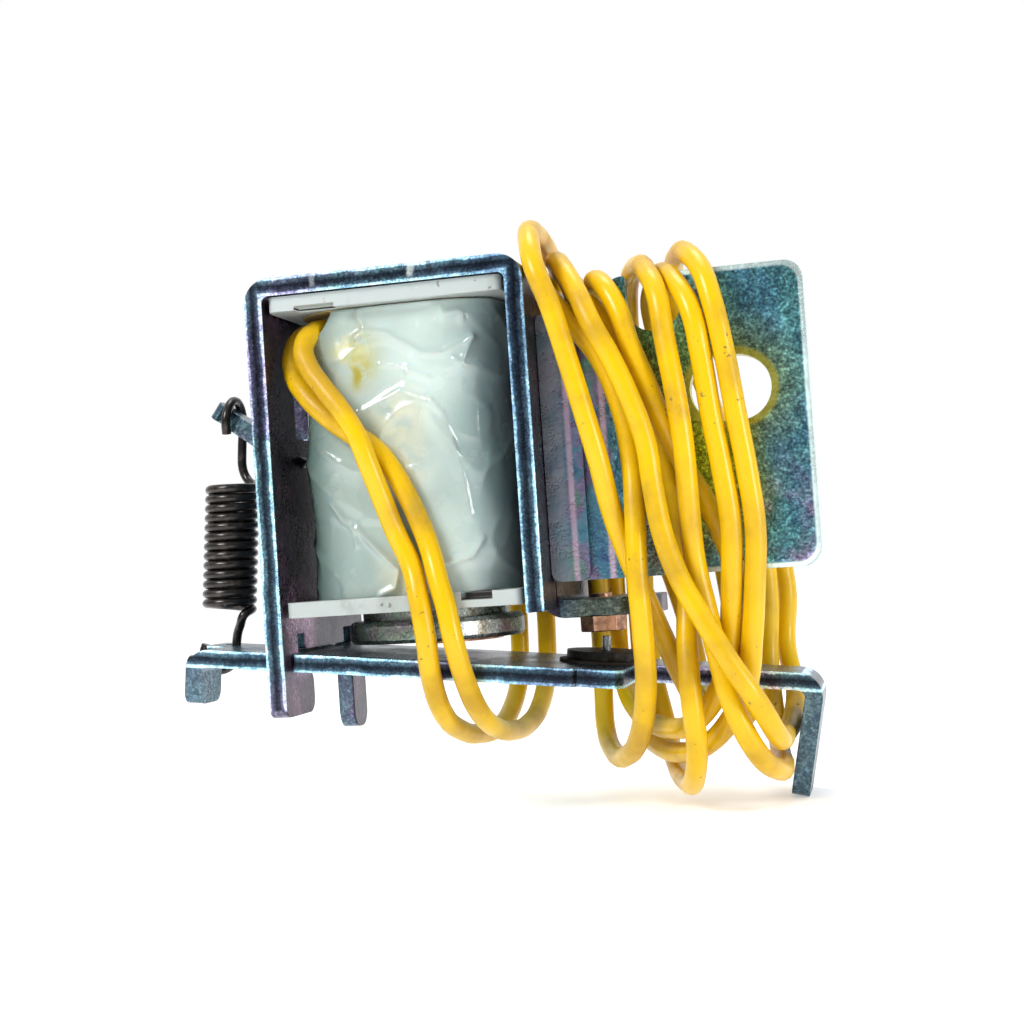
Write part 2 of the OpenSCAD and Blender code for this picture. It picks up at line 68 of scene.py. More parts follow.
# ---------------------------------------------------------------------------------------------------
# Camera: a short telephoto, a little to the plate's side and below the middle, and rolled. It and
# all that follows is placed in millimetres from the middle of the core's pole face, where the lever
# lands: X runs along the lever towards the plate, Y to the back and Z up the core.
MM = 0.001
core_low, core_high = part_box("core")
pole = Vector(((core_low.x + core_high.x) / 2, (core_low.y + core_high.y) / 2, core_low.z))


def at(x, y, z):
    return pole + Vector((x, y, z)) * MM


CAMERA_AT = (64.2, -234.0, 9.4)
AZIMUTH, ELEVATION, ROLL = 12.62, -1.8, -3.87
LENS = 60.5

back = Vector((0, -1, 0))
back.rotate(Quaternion((1, 0, 0), math.radians(-ELEVATION)))
back.rotate(Quaternion((0, 0, 1), math.radians(AZIMUTH)))
turn = (-back).to_track_quat("-Z", "Y") @ Quaternion((0, 0, 1), math.radians(ROLL))
camera_data = bpy.data.cameras.new("camera")
camera_data.lens = LENS
camera_data.sensor_width = 36
camera_data.clip_start = 0.01
camera = bpy.data.objects.new("camera", camera_data)
camera.matrix_world = Matrix.Translation(at(*CAMERA_AT)) @ turn.to_matrix().to_4x4()
bpy.context.collection.objects.link(camera)
bpy.context.scene.camera = camera


# ---------------------------------------------------------------------------------------------------
# Leads: two lengths of stranded hook-up wire in soft yellow PVC. They leave the coil under the wrap, run
# under the lever and up behind the frame, and are wound four times round the plate and the lever's arm.
COIL = "coil_assembly"
LEAD_D = 2.8 * MM
YELLOW = (0.74, 0.46, 0.001)
YELLOW_WORN = (0.5, 0.29, 0.005)
SMUDGE = (0.36, 0.26, 0.03)
GRIME = (0.16, 0.12, 0.03)

lead_a_route = [
    (-10, -10.6, 43.4), (-11.3, -13.2, 42.6), (-11.9, -15.2, 40.4), (-10.8, -16.6, 37.6),
    (-8.4, -18, 34.4), (-5.8, -18.9, 31), (-3.9, -19.2, 27.6), (-2.6, -18.9, 23.6),
    (-1.5, -17.8, 19.4), (-0.3, -16.8, 15), (1.6, -17, 10.4), (2.8, -18.5, 5.8), (3.5, -18.8, 0.6),
    (3.6, -17.8, -4.4), (3.8, -13.8, -9.4), (4.4, -7, -12.4), (5, 0, -13.6), (6, 7, -13.6),
    (6.8, 13.4, -11.4), (7.3, 17.8, -7), (7.4, 19.2, -1), (7.4, 19.4, 6), (7.4, 19.4, 14),
    (7.6, 19.4, 22), (8.2, 19.4, 30), (9, 19.5, 37), (10, 19.6, 43.6), (11.4, 19.6, 48.4),
    (13, 17.4, 51.8), (14.8, 11, 52.2), (16.6, 3, 51.7), (18, -5, 51), (19.5, -12, 49.7),
    (20.7, -15.6, 47.2), (21.9, -16.2, 44.2), (25, -16.1, 40.2), (28.2, -16, 35.4),
    (30.4, -15.8, 29.2), (31.4, -16, 22.4), (31.7, -17.6, 15.4), (31.6, -18.8, 8), (31.8, -18.8, 0),
    (31.5, -17.6, -7.4), (29.6, -13, -13.6), (26.4, -5, -17), (23.2, 4, -17.4), (21, 11, -14.6),
    (20.6, 13.6, -9), (20.8, 13.4, -1), (20.9, 13, 8), (21.1, 12.4, 18), (21.2, 12.3, 28),
    (21.3, 12.3, 38), (22.2, 10.6, 44.2), (22.7, 6, 46.4), (23.3, 0, 47), (23.8, -7, 46.6),
    (25.4, -12, 44), (28.2, -12.9, 41.2), (30.7, -12.8, 36), (32.7, -12.7, 30.4), (34.6, -12.6, 24.6),
    (35.9, -12.8, 18), (36.8, -13.3, 11.6), (37.2, -14.4, 4.6), (37, -16.4, -2), (37.2, -17.8, -8.6),
    (37.4, -17, -14.4), (36.2, -12, -19.4), (34, -3, -21), (31.4, 6, -19.4), (29.6, 12.8, -14.8),
    (28, 13.6, -6.6), (27.6, 13.4, 2), (27.8, 13.4, 12), (28, 13.4, 22), (28, 13.4, 32),
    (28.2, 13, 41), (28.8, 9.4, 45.4), (30.2, 3, 48.2), (32.6, -5, 48.6), (34.6, -12.4, 46.4),
    (36.2, -16.2, 42.8), (37, -17.4, 36.6), (37.9, -18, 30), (38.5, -18, 23), (38.6, -17.5, 15),
    (38.8, -16.9, 8.6), (39.8, -17, 2.4), (41, -17.8, -4), (42.6, -18.4, -10.4), (45, -16.4, -16.2),
    (46.9, -10, -19), (47, -2, -19.4), (46, 6, -18.4), (45.2, 12.4, -14.6), (44.6, 16.2, -7),
    (45.2, 16.6, 3), (44.6, 16.6, 12), (42.4, 16.6, 21), (39.2, 16.6, 30), (36.4, 15.6, 39),
    (35.4, 11.4, 45.2), (36, 5, 48.8), (37.8, -3, 49.8), (39.8, -10.6, 48.6), (42, -15.2, 45.4),
    (43.2, -16.8, 41.2), (44.3, -17, 34.6), (45.2, -17, 27), (46.1, -16.8, 19.4), (46.6, -16.6, 12),
    (46, -16.4, 5), (45.2, -16.2, -1.6), (43.9, -14.6, -7.8), (41, -13.2, -12.6), (37.2, -9.2, -15.8),
    (33.6, -3.6, -17), (30, 2.8, -16.9), (27, 10, -15), (25.8, 16.4, -10.4), (25.5, 19.3, -4),
    (25.5, 19.4, 3), (25.5, 19.4, 10),
]
lead_b_route = [
    (-12.7, -7.6, 43.4), (-14, -9.8, 42.6), (-14.8, -11.4, 40.2), (-14.2, -13, 37.2),
    (-12.2, -15, 34.4), (-9.2, -16.2, 31.2), (-6, -16.2, 28.6), (-2.8, -16.2, 26.4),
    (-0.6, -16.2, 23.6), (1.2, -16.2, 20.2), (2.8, -16.2, 16.4), (4.2, -16.6, 12.4), (5.4, -17.9, 8.2),
    (6.4, -18.6, 4.6), (7.2, -18.8, 0), (8, -17.4, -5), (8.6, -13.4, -9.4), (9.2, -7, -12.2),
    (9.8, 0, -13.4), (10.6, 7, -13.2), (11.2, 13.4, -11), (11.5, 17.8, -6.8), (11.6, 19.2, -1),
    (11.6, 19.4, 6), (11.6, 19.4, 14), (11.8, 19.4, 22), (12.4, 19.4, 30), (13.6, 19.5, 38),
    (15, 19.8, 46.4), (17.2, 17.8, 51.2), (17.9, 8.4, 54), (18.4, 0, 54.6), (18.9, -8.6, 54.2),
    (20, -15.8, 51.6), (21.2, -19.3, 47.2), (22.8, -19.5, 42.6), (24.6, -19.2, 35.4),
    (26.2, -19, 28.6), (27.6, -18.4, 22), (28.5, -16.9, 16), (29.9, -15.6, 10.4), (31.8, -15, 4.6),
    (33.8, -14.6, -1), (35.6, -13.8, -5.8), (36.8, -10.6, -9.6), (37, -4, -10.9), (36.4, 3, -11.1),
    (35.6, 9.6, -10.8), (34.6, 14.8, -8), (33.6, 16.6, -3), (32, 16.6, 4), (29.6, 16.6, 12),
    (27, 16.6, 20), (24.4, 16.6, 28), (22, 16.4, 36), (20.9, 15, 43.4), (20.7, 9.6, 48.4),
    (20.6, 2, 50.3), (21.5, -6, 50.1), (23.7, -13.2, 47.9), (26.1, -17, 43.8), (28, -18.9, 39.4),
    (30.2, -19, 34.8), (32.2, -19, 29.6), (33.8, -18.9, 24), (34.4, -19.1, 18.4), (35.2, -19.5, 12.6),
    (37, -19.9, 6.6), (39.8, -20.2, 1), (42.6, -20.6, -4.2), (45.6, -19.6, -9.4), (47.4, -15.8, -13.8),
    (47.6, -9.4, -15.2), (47.4, -1, -15.4), (47.7, 8, -14.8), (48, 16, -10.6), (47, 19, -4.6),
    (47.6, 19.6, 3.6), (46, 19.6, 12), (41.6, 19.6, 20.6), (35.6, 19.6, 28.8), (29.4, 19.4, 36.6),
    (25.6, 16.6, 42.4), (25.4, 11.4, 45.6), (26.2, 5, 46.3), (26.8, -2, 46.3), (27, -8.6, 46.5),
    (29, -13.8, 45), (31, -15.7, 41.4), (32.2, -16.1, 37), (33.8, -16, 32.4), (35.2, -15.9, 28.2),
    (36.6, -15.2, 24.2), (38.4, -14.2, 19.8), (40.4, -13.8, 16), (42, -13.7, 12), (43.4, -13.5, 7),
    (43.9, -13.3, 2), (44.2, -12.4, -4), (43.6, -10.4, -9.8), (42.6, -4, -12.4), (41.8, 3, -12.6),
    (41.2, 10.4, -11.4), (40.4, 13.2, -5), (39.8, 13.2, 3), (38.6, 13.2, 12), (37, 13.2, 20),
    (35, 13.2, 28), (33, 13, 36), (32, 11.6, 41.8), (32.4, 6, 45.4), (34.4, -1, 46.8),
    (36.2, -8, 46.8), (38.5, -14.2, 44.2), (40.4, -16.8, 40.4), (41.4, -17, 34), (42.1, -17, 27),
    (43, -16.9, 20), (43.6, -16.8, 13), (43.3, -16.6, 7), (42.8, -16, 1.8), (41.9, -14.8, -4),
    (39.8, -14, -9), (36.4, -11.8, -12.4), (32.8, -6.6, -13.4), (29.4, 0, -13.2), (26.4, 7, -12.2),
    (23.9, 13.4, -9.2), (22.6, 18, -4), (22.5, 19.4, 3), (22.5, 19.4, 10), (22.5, 19.4, 17),
]


class Signal:
    """A node's output, which takes part in sums as a number would."""

    def __init__(self, finish, socket):
        self.finish, self.socket = finish, socket

    def sum(self, operation, *values):
        return self.finish.node("ShaderNodeMath", {"operation": operation}, values)

    def __add__(self, other):
        return self.sum("ADD", self, other)

    def __sub__(self, other):
        return self.sum("SUBTRACT", self, other)

    def __rsub__(self, other):
        return self.sum("SUBTRACT", other, self)

    def __mul__(self, other):
        return self.sum("MULTIPLY", self, other)

    def __abs__(self):
        return self.sum("ABSOLUTE", self)

    def least(self, other):
        return self.sum("MINIMUM", self, other)

    def over(self, floor):
        """How far the value is above floor, or 0."""
        return self.sum("MAXIMUM", self - floor, 0)

    __radd__ = __add__
    __rmul__ = __mul__


class Finish:
    """A material under construction."""

    def __init__(self, name, **shader):
        self.material = bpy.data.materials.new(name)
        self.material.use_nodes = True
        self.tree = self.material.node_tree
        self.shader = self.tree.nodes["Principled BSDF"]
        for socket, value in shader.items():
            self.shader.inputs[socket.replace("_", " ")].default_value = value
        self.place = self.node("ShaderNodeTexCoord", {}, {}, "Object")

    def node(self, kind, settings, values, output=0):
        made = self.tree.nodes.new(kind)
        for name, value in settings.items():
            if name == "stops":
                ramp = made.color_ramp
                while len(ramp.elements) < len(value):
                    ramp.elements.new(0.5)
                for element, (position, colour) in zip(ramp.elements, value):
                    element.position, element.color = position, (*colour, 1)
            else:
                setattr(made, name, value)
        pairs = values.items() if isinstance(values, dict) else enumerate(values)
        for key, value in pairs:
            socket = made.inputs[key]
            if isinstance(value, Signal):
                self.tree.links.new(value.socket, socket)
            else:
                socket.default_value = (*value, 1) if socket.type == "RGBA" else value
        return Signal(self, made.outputs[output])

    def noise(self, scale, detail=3, roughness=0.55, where=None, distortion=0.0):
        return self.node("ShaderNodeTexNoise", {}, {
            "Vector": where or self.place, "Scale": scale, "Detail": detail,
            "Roughness": roughness, "Distortion": distortion})

    def ramp(self, value, *stops):
        return self.node("ShaderNodeValToRGB", {"stops": stops}, {"Fac": value})

    def axis(self, name):
        return self.node("ShaderNodeSeparateXYZ", {}, {0: self.place}, "XYZ".index(name))

    def near(self, x, y, z, core, rim):
        """1 inside core millimetres of a point, 0 beyond rim."""
        gap = self.node("ShaderNodeVectorMath", {"operation": "DISTANCE"},
                        {0: self.place, 1: tuple(at(x, y, z))}, "Value")
        return self.step(gap, rim * MM, core * MM)

    def stain(self, tone, place, core, rim, share, colour):
        return self.mix(self.near(*place, core, rim) * share, tone, colour)

    def step(self, value, low, high):
        return self.node("ShaderNodeMapRange", {"interpolation_type": "SMOOTHSTEP"}, {
            "Value": value, "From Min": low, "From Max": high})

    def mix(self, factor, first, second, how="MIX"):
        return self.node("ShaderNodeMix", {"data_type": "RGBA", "blend_type": how}, {
            0: factor, 6: first, 7: second}, 2)

    def bump(self, height, strength, distance):
        normal = self.node("ShaderNodeBump", {}, {
            "Height": height, "Strength": strength, "Distance": distance})
        return self.into(Normal=normal)

    def into(self, **sockets):
        for name, value in sockets.items():
            self.tree.links.new(value.socket, self.shader.inputs[name.replace("_", " ")])
        return self


def insulation():
    pvc = Finish("yellow_insulation", Roughness=0.36, Specular_IOR_Level=0.35, Coat_Weight=0.08,
                 Coat_Roughness=0.2, Subsurface_Weight=0.08, Subsurface_Scale=0.0012)
    pvc.shader.inputs["Subsurface Radius"].default_value = (1.0, 0.6, 0.1)
    tired = pvc.step(pvc.noise(90, 4), 0.42, 0.7)
    colour = pvc.mix(tired, YELLOW, YELLOW_WORN)
    smudge = pvc.step(pvc.noise(190, 4, 0.7), 0.6, 0.74) * 0.4
    colour = pvc.mix(smudge, colour, SMUDGE)
    specks = pvc.step(pvc.noise(1100, 2, 0.5), 0.69, 0.74) * pvc.step(pvc.noise(60, 2), 0.42, 0.58)
    colour = pvc.mix(specks * 0.8, colour, GRIME)
    pvc.into(Base_Color=colour, Roughness=tired * 0.18 + 0.3 + specks * 0.3)
    pvc.bump(pvc.noise(420, 4), 0.12, 0.0004)
    return pvc.material


yellow = insulation()


def lead(name, route):
    curve = bpy.data.curves.new(name, "CURVE")
    curve.dimensions = "3D"
    curve.bevel_depth = LEAD_D / 2
    curve.bevel_resolution = 4
    curve.resolution_u = 6
    curve.use_fill_caps = True
    spline = curve.splines.new("BEZIER")
    spline.bezier_points.add(len(route) - 1)
    for knot, place in zip(spline.bezier_points, route):
        knot.co = at(*place)
        knot.handle_left_type = knot.handle_right_type = "AUTO"
    curve.materials.append(yellow)
    wire = bpy.data.objects.new(name, curve)
    bpy.context.collection.objects.link(wire)
    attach(wire, COIL)
    return wire


lead_a = lead("lead_wire_a", lead_a_route)
lead_b = lead("lead_wire_b", lead_b_route)
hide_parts("lead_a", "lead_hank")
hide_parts("lead_b")


# ---------------------------------------------------------------------------------------------------
# Frame: one strip of 2.4 mm steel, blanked, bent into a U and zinc plated. The passivate over the zinc
# drifts from blue-green to purple; inside the U it is painted near-black as shade. The blanked edges
# have a dark middle and painted highlights at both rims.
EDGE_ROUND = 0.25 * MM
FRAME_HALF = 19.1
FRAME_TOP = 50.0
FRAME_FRONT = -17.5
SHEET = 2.4


class Plating(Finish):
    """Zinc under a thin passivate: a grainy metal whose tint drifts over the sheet."""

    def __init__(self, name):
        super().__init__(name, Metallic=0.75, Specular_IOR_Level=0.5)
        self.x, self.y, self.z = (
            (self.axis(letter) - centre) * 1000 for letter, centre in zip("XYZ", pole))
        self.grain = self.noise(2600, 2, 0.6) * 0.55 + self.noise(900, 4, 0.7) * 0.45

    def drift(self, scale, *tones):
        places = [0.34 + 0.3 * k / max(1, len(tones) - 1) for k in range(len(tones))]
        return self.ramp(self.noise(scale, 5, 0.6, distortion=0.5), *zip(places, tones))

    def highlighted_edge(self, tone, depth, on_edge):
        """Painted highlights at both rims of a blanked edge with a dark band between, depth being
        millimetres in from the sheet's face.
        """
        wavy = depth + (self.noise(260, 4, 0.65) - 0.5) * 0.7
        # Both rims get near-white painted highlights, as on rounded edges; the middle runs dark.
        rim_highlight_bands = self.ramp(wavy * (1 / SHEET), (0.08, (7.5, 8.0, 8.0)), (0.17, (1.1, 1.2, 1.25)),
                          (0.34, (0.5, 0.56, 0.62)), (0.46, (0.09, 0.1, 0.13)), (0.64, (0.25, 0.27, 0.35)),
                          (0.82, (0.9, 1.0, 1.05)), (0.92, (7.5, 8.0, 8.0)))
        return self.mix(on_edge, tone, self.mix(1.0, tone, rim_highlight_bands, "MULTIPLY"))

    def border(self, left, right, foot, head, corner):
        """Millimetres in from the outline of a sheet that lies in X and Z."""
        half_w, half_h = (right - left) / 2 - corner, (head - foot) / 2 - corner
        across = abs(self.x - (left + right) / 2).over(half_w)
        along = abs(self.z - (foot + head) / 2).over(half_h)
        return corner - across.sum("SQRT", across * across + along * along)

    def flecked(self, tone, grit=1.0):
        """Crystals of the zinc, lighter and darker than the tone."""
        flecks = self.ramp(self.grain, (0.4, (0.45, 0.47, 0.52)), (0.49, (0.88, 0.9, 0.93)),
                           (0.56, (1.4, 1.42, 1.42)), (0.63, (2.6, 2.6, 2.5)))
        return self.mix(grit * 0.8, tone, self.mix(1.0, tone, flecks, "MULTIPLY"))

    def plate(self, tone, grit=1.0, fall=0):
        """Handling marks and gloss over the tones; fall is a height that rounds the outline."""
        handled = self.step(self.noise(120, 5, 0.7), 0.42, 0.75)
        self.into(Base_Color=tone, Roughness=handled * 0.2 + self.grain * 0.3 + 0.12)
        self.bump(self.grain * 0.2 * grit + handled * 0.1 + fall, 0.5, 0.0005)
        return self.material


def dressed(node, name, material, body, edge=EDGE_ROUND, segments=2, sharp=32.0):
    """A copy of a CAD solid with its edges eased, which stands in its place."""
    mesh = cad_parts[node].data.copy()
    mesh.materials.clear()
    mesh.materials.append(material)
    shape = bmesh.new()
    shape.from_mesh(mesh)
    bmesh.ops.remove_doubles(shape, verts=shape.verts, dist=2e-6)
    bmesh.ops.dissolve_limit(shape, angle_limit=math.radians(3), verts=shape.verts,
                             edges=shape.edges)
    for face in shape.faces:
        face.smooth = True
        face.material_index = 0
    for line in shape.edges:
        line.smooth = len(line.link_faces) == 2 and line.calc_face_angle(0) < math.radians(sharp)
    shape.to_mesh(mesh)
    shape.free()
    piece = bpy.data.objects.new(name, mesh)
    bpy.context.collection.objects.link(piece)
    if edge:
        bevel = piece.modifiers.new("eased_edges", "BEVEL")
        bevel.width = edge
        bevel.segments = segments
        bevel.offset_type = "ABSOLUTE"
        bevel.limit_method = "ANGLE"
        bevel.angle_limit = math.radians(sharp)
        bevel.use_clamp_overlap = False
        bevel.harden_normals = True
    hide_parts(node)
    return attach(piece, body)


NAVY = (0.03, 0.045, 0.075)
STEEL_BLUE = (0.055, 0.095, 0.14)
PLUM = (0.05, 0.018, 0.04)
SHADE_PLUM = (0.02, 0.014, 0.02)
GREY_LILAC = (0.5, 0.33, 0.46)
LEG_INNER = -16.7
SEAMS = [(4.3, (0.9, 1, 1)), (6.7, (0.012, 0.014, 0.02)), (-9.5, (0.4, 0.45, 0.5))]
frame_zinc = Plating("frame_plating")
tone = frame_zinc.drift(40, NAVY, STEEL_BLUE, (0.1, 0.17, 0.2), (0.1, 0.09, 0.15))
tone = frame_zinc.stain(tone, (-17, -15, -9), 3, 9, 0.5, (0.2, 0.13, 0.2))
tone = frame_zinc.stain(tone, (26, -12, 1), 5, 9, 0.9, (0.09, 0.11, 0.085))
# Inner faces of the U, behind the front edge: painted near-black plum, a painted shade over the purple
# passivate.
inside = (frame_zinc.step(frame_zinc.x, LEG_INNER - 0.4, LEG_INNER - 0.1)
          * frame_zinc.step(frame_zinc.y, FRAME_FRONT + 0.2, FRAME_FRONT + 0.5)
          * frame_zinc.step(frame_zinc.x, FRAME_HALF + 0.5, FRAME_HALF + 0.1))
inner_shade_plum = frame_zinc.drift(90, (0.012, 0.01, 0.014), PLUM, SHADE_PLUM, PLUM, (0.11, 0.05, 0.09))
tone = frame_zinc.mix(inside * 0.85, tone, inner_shade_plum)
tone = frame_zinc.stain(tone, (LEG_INNER, -10, 3), 3, 8, inside * 0.9, GREY_LILAC)
tone = frame_zinc.flecked(tone)
skin = (FRAME_HALF - abs(frame_zinc.x)).least(FRAME_TOP - frame_zinc.z)
tone = frame_zinc.highlighted_edge(tone, skin, frame_zinc.step(frame_zinc.y, FRAME_FRONT + 0.4, FRAME_FRONT + 0.1))
ragged = frame_zinc.x + (frame_zinc.noise(300, 3) - 0.5) * 1.2
head_edge = (frame_zinc.step(frame_zinc.z, FRAME_TOP - 2.2, FRAME_TOP - 1.4)
             * frame_zinc.step(frame_zinc.y, FRAME_FRONT + 0.3, FRAME_FRONT + 0.1))
for seam_at, shade in SEAMS:
    seam = frame_zinc.step(abs(ragged - seam_at), 0.6, 0.15) * head_edge
    tone = frame_zinc.mix(seam * 0.6, tone, shade)
dressed("frame", "u_frame", frame_zinc.plate(tone), COIL, 0.3 * MM)

# ---------------------------------------------------------------------------------------------------
# Mounting plate: a bent and joggled bracket of the same steel, riveted to the frame's leg. Its passivate
# pooled round the slot and the notch, where it is yellow-green, and runs to purple at the low corner.
SEA_GREEN = (0.1, 0.28, 0.3)
DEEP_TEAL = (0.04, 0.14, 0.2)
LIME = (0.36, 0.42, 0.015)
OLIVE = (0.2, 0.27, 0.1)
MAUVE = (0.26, 0.15, 0.29)
RUST = (0.4, 0.27, 0.2)
SLOT_YELLOW = (0.5, 0.46, 0.05)
RIM_HIGHLIGHT = (0.75, 0.92, 0.9)
PLATE_RIGHT, PLATE_FOOT, PLATE_HEAD, PLATE_CORNER = 54.4, 6.9, 46.5, 3.0
PLATE_FRONT = -7.9
SLOT_X, SLOT_Z, SLOT_HALF_RUN, SLOT_RADIUS = 44.2, 30.6, 1, 4.3
BEND_X, FLANGE_X = 28.6, 22.4
BEND_HIGHLIGHTS = [(27.2, (0.7, 0.5, 0.62)), (22.6, (0.62, 0.45, 0.6))]
# X and Z of each stain, how far it is full and where it ends, its strength and its colour.
STAINS = [
    (SLOT_X, SLOT_Z, 4, 12, 0.85, OLIVE),
    (35, 35, 4, 10, 0.85, (0.16, 0.28, 0.07)),
    (39, 24, 5, 10, 0.95, LIME),
    (41, 17, 4, 10, 0.85, LIME),
    (32, 33, 1, 5, 0.75, (0.34, 0.22, 0.12)),
    (33.6, 20, 1, 5, 0.6, RUST),
    (33.6, 14, 1, 5, 0.6, RUST),
    (33.6, 9, 1, 5, 0.6, RUST),
    (41, 43, 1, 4, 0.6, MAUVE),
]
plate_zinc = Plating("plate_plating")
tone = plate_zinc.drift(60, DEEP_TEAL, SEA_GREEN, (0.07, 0.2, 0.28), (0.14, 0.33, 0.33))
for x, z, core, fade, share, colour in STAINS:
    tone = plate_zinc.stain(tone, (x, PLATE_FRONT, z), core, fade, share, colour)
blurred = plate_zinc.step(plate_zinc.noise(110, 4), 0.4, 0.6)
tone = plate_zinc.stain(tone, (51, PLATE_FRONT, 11), 3, 13, blurred * 0.9, MAUVE)
tone = plate_zinc.flecked(tone, 1.25)
across_slot = abs(plate_zinc.x - SLOT_X).over(SLOT_HALF_RUN)
up_slot = plate_zinc.z - SLOT_Z
slot_gap = across_slot.sum("SQRT", across_slot * across_slot + up_slot * up_slot)
slot_ring = plate_zinc.step(slot_gap, SLOT_RADIUS + 1.3, SLOT_RADIUS + 0.6)
tone = plate_zinc.mix(slot_ring * 0.8, tone, SLOT_YELLOW)
strip_tone = plate_zinc.drift(
    130, (0.05, 0.1, 0.24), (0.08, 0.22, 0.3), (0.24, 0.13, 0.28), (0.1, 0.26, 0.16))
tone = plate_zinc.mix(plate_zinc.step(plate_zinc.x, BEND_X, BEND_X - 1) * 0.8, tone, strip_tone)
# Pale pink lines along the joggle's bends are painted highlights.
for highlight_at, shade in BEND_HIGHLIGHTS:
    crease = plate_zinc.step(abs(plate_zinc.x - highlight_at), 0.6, 0.15)
    tone = plate_zinc.mix(crease * 0.75, tone, shade)
flange = plate_zinc.drift(90, (0.12, 0.2, 0.28), (0.34, 0.34, 0.4), (0.2, 0.28, 0.34))
tone = plate_zinc.mix(plate_zinc.step(plate_zinc.x, FLANGE_X, FLANGE_X - 1) * 0.8, tone, flange)
rim = plate_zinc.border(0, PLATE_RIGHT, PLATE_FOOT, PLATE_HEAD, PLATE_CORNER)
main_sheet = plate_zinc.step(plate_zinc.x, 36, 38)
# A near-white painted highlight along the main sheet's rounded outline.
tone = plate_zinc.mix(plate_zinc.step(rim, 0.8, 0.45) * main_sheet * 0.9, tone, RIM_HIGHLIGHT)
rounding = plate_zinc.step(rim, 0, 1.1) * main_sheet
dressed("mounting_bracket", "mounting_plate", plate_zinc.plate(tone, 1.1, rounding), COIL, 0.15 * MM)

rivet_zinc = Plating("rivet_plating")
tone = rivet_zinc.flecked(rivet_zinc.drift(200, (0.2, 0.24, 0.27), (0.34, 0.38, 0.4)))
dressed("bracket_rivets", "plate_rivets", rivet_zinc.plate(tone), COIL, 0.3 * MM)

# ---------------------------------------------------------------------------------------------------
# Lever: the flat steel armature, blanked and plated as the frame is, with a bent end tab and tail lug.
# It hangs a few degrees open, so the painted highlights along its edge follow its own slope.
LEVER = "armature"
LEVER_TILT = math.radians(6)
HINGE = (-19.1, -0.1)
lever_zinc = Plating("lever_plating")
tone = lever_zinc.drift(
    50, (0.03, 0.045, 0.07), (0.06, 0.11, 0.15), (0.11, 0.18, 0.22), (0.09, 0.08, 0.14))
tone = lever_zinc.stain(tone, (47, -14, -7), 3, 9, 0.6, (0.33, 0.34, 0.16))
end_tab = lever_zinc.step(lever_zinc.x, 56.5, 57.5) * lever_zinc.step(lever_zinc.z, -8.5, -9.5)
tone = lever_zinc.mix(end_tab * 0.8, tone, (0.14, 0.22, 0.25))
tone = lever_zinc.flecked(tone)
under = (HINGE[1] - lever_zinc.z) * math.cos(LEVER_TILT) + (
    HINGE[0] - lever_zinc.x) * math.sin(LEVER_TILT)
flat_part = lever_zinc.step(under, 2.6, 2.4)
tone = lever_zinc.highlighted_edge(tone, under, flat_part * lever_zinc.step(under, 0.02, 0.06))
dressed("lever", "lever_plate", lever_zinc.plate(tone), LEVER, 0.15 * MM)

# ---------------------------------------------------------------------------------------------------
# Core: turned soft iron with a wide pole disc, plated grey-green; the front of its rim carries a painted
# highlight. A copper shading ring is pressed into a groove in its face and stops the lever's buzz.
iron = Plating("core_plating")
tone = iron.drift(120, (0.1, 0.13, 0.13), (0.2, 0.27, 0.25), (0.16, 0.2, 0.15), (0.24, 0.2, 0.22))
# A painted highlight on the front-right of the pole disc's rim.
tone = iron.stain(tone, (8, -10, 2), 1, 6, 0.8, (0.7, 0.72, 0.7))
dressed("core", "iron_core", iron.plate(iron.flecked(tone, 0.8), 0.8), COIL, 0.15 * MM)


def copper(name, bright, dull):
    metal = Finish(name, Metallic=0.95)
    worn = metal.noise(500, 4, 0.7)
    metal.into(Base_Color=metal.mix(metal.step(worn, 0.35, 0.65), bright, dull),
               Roughness=worn * 0.4 + 0.18)
    metal.bump(worn, 0.3, 0.0002)
    return metal.material


dressed("shading_ring", "copper_ring", copper("ring_copper", (0.8, 0.42, 0.26), (0.45, 0.2, 0.12)),
        COIL, 0.1 * MM)

# ---------------------------------------------------------------------------------------------------
# Bobbin: white moulded nylon, a spool with two square flanges, a little soiled along its edges.
SLIT_X, SLIT_Z = 10.1, 6.2
SLIT_WIDE, SLIT_TALL = 4.2 * MM, 1.6 * MM
nylon = Finish("white_nylon", Roughness=0.4, Subsurface_Weight=0.12, Subsurface_Scale=0.001)
soil = nylon.step(nylon.noise(160, 5, 0.7), 0.52, 0.8)
spots = nylon.step(nylon.noise(700, 2, 0.5), 0.69, 0.73)
paint = nylon.mix(soil, (0.42, 0.47, 0.46), (0.28, 0.3, 0.27))
slit_at = at(SLIT_X, 0, SLIT_Z)
# A near-black oblong painted on the bobbin at SLIT_X and SLIT_Z: painted shade of an opening.
slit_shade = (nylon.step(abs(nylon.axis("Z") - slit_at.z), SLIT_TALL / 2 + 0.1 * MM, SLIT_TALL / 2 - 0.1 * MM)
        * nylon.step(abs(nylon.axis("X") - slit_at.x), SLIT_WIDE / 2 + 0.1 * MM, SLIT_WIDE / 2 - 0.1 * MM))
paint = nylon.mix(slit_shade, paint, (0.02, 0.018, 0.016))
nylon.into(Base_Color=nylon.mix(spots * 0.7, paint, (0.12, 0.1, 0.08)))
nylon.bump(nylon.noise(900, 3), 0.08, 0.0002)
dressed("bobbin", "coil_bobbin", nylon.material, COIL, 0.3 * MM)

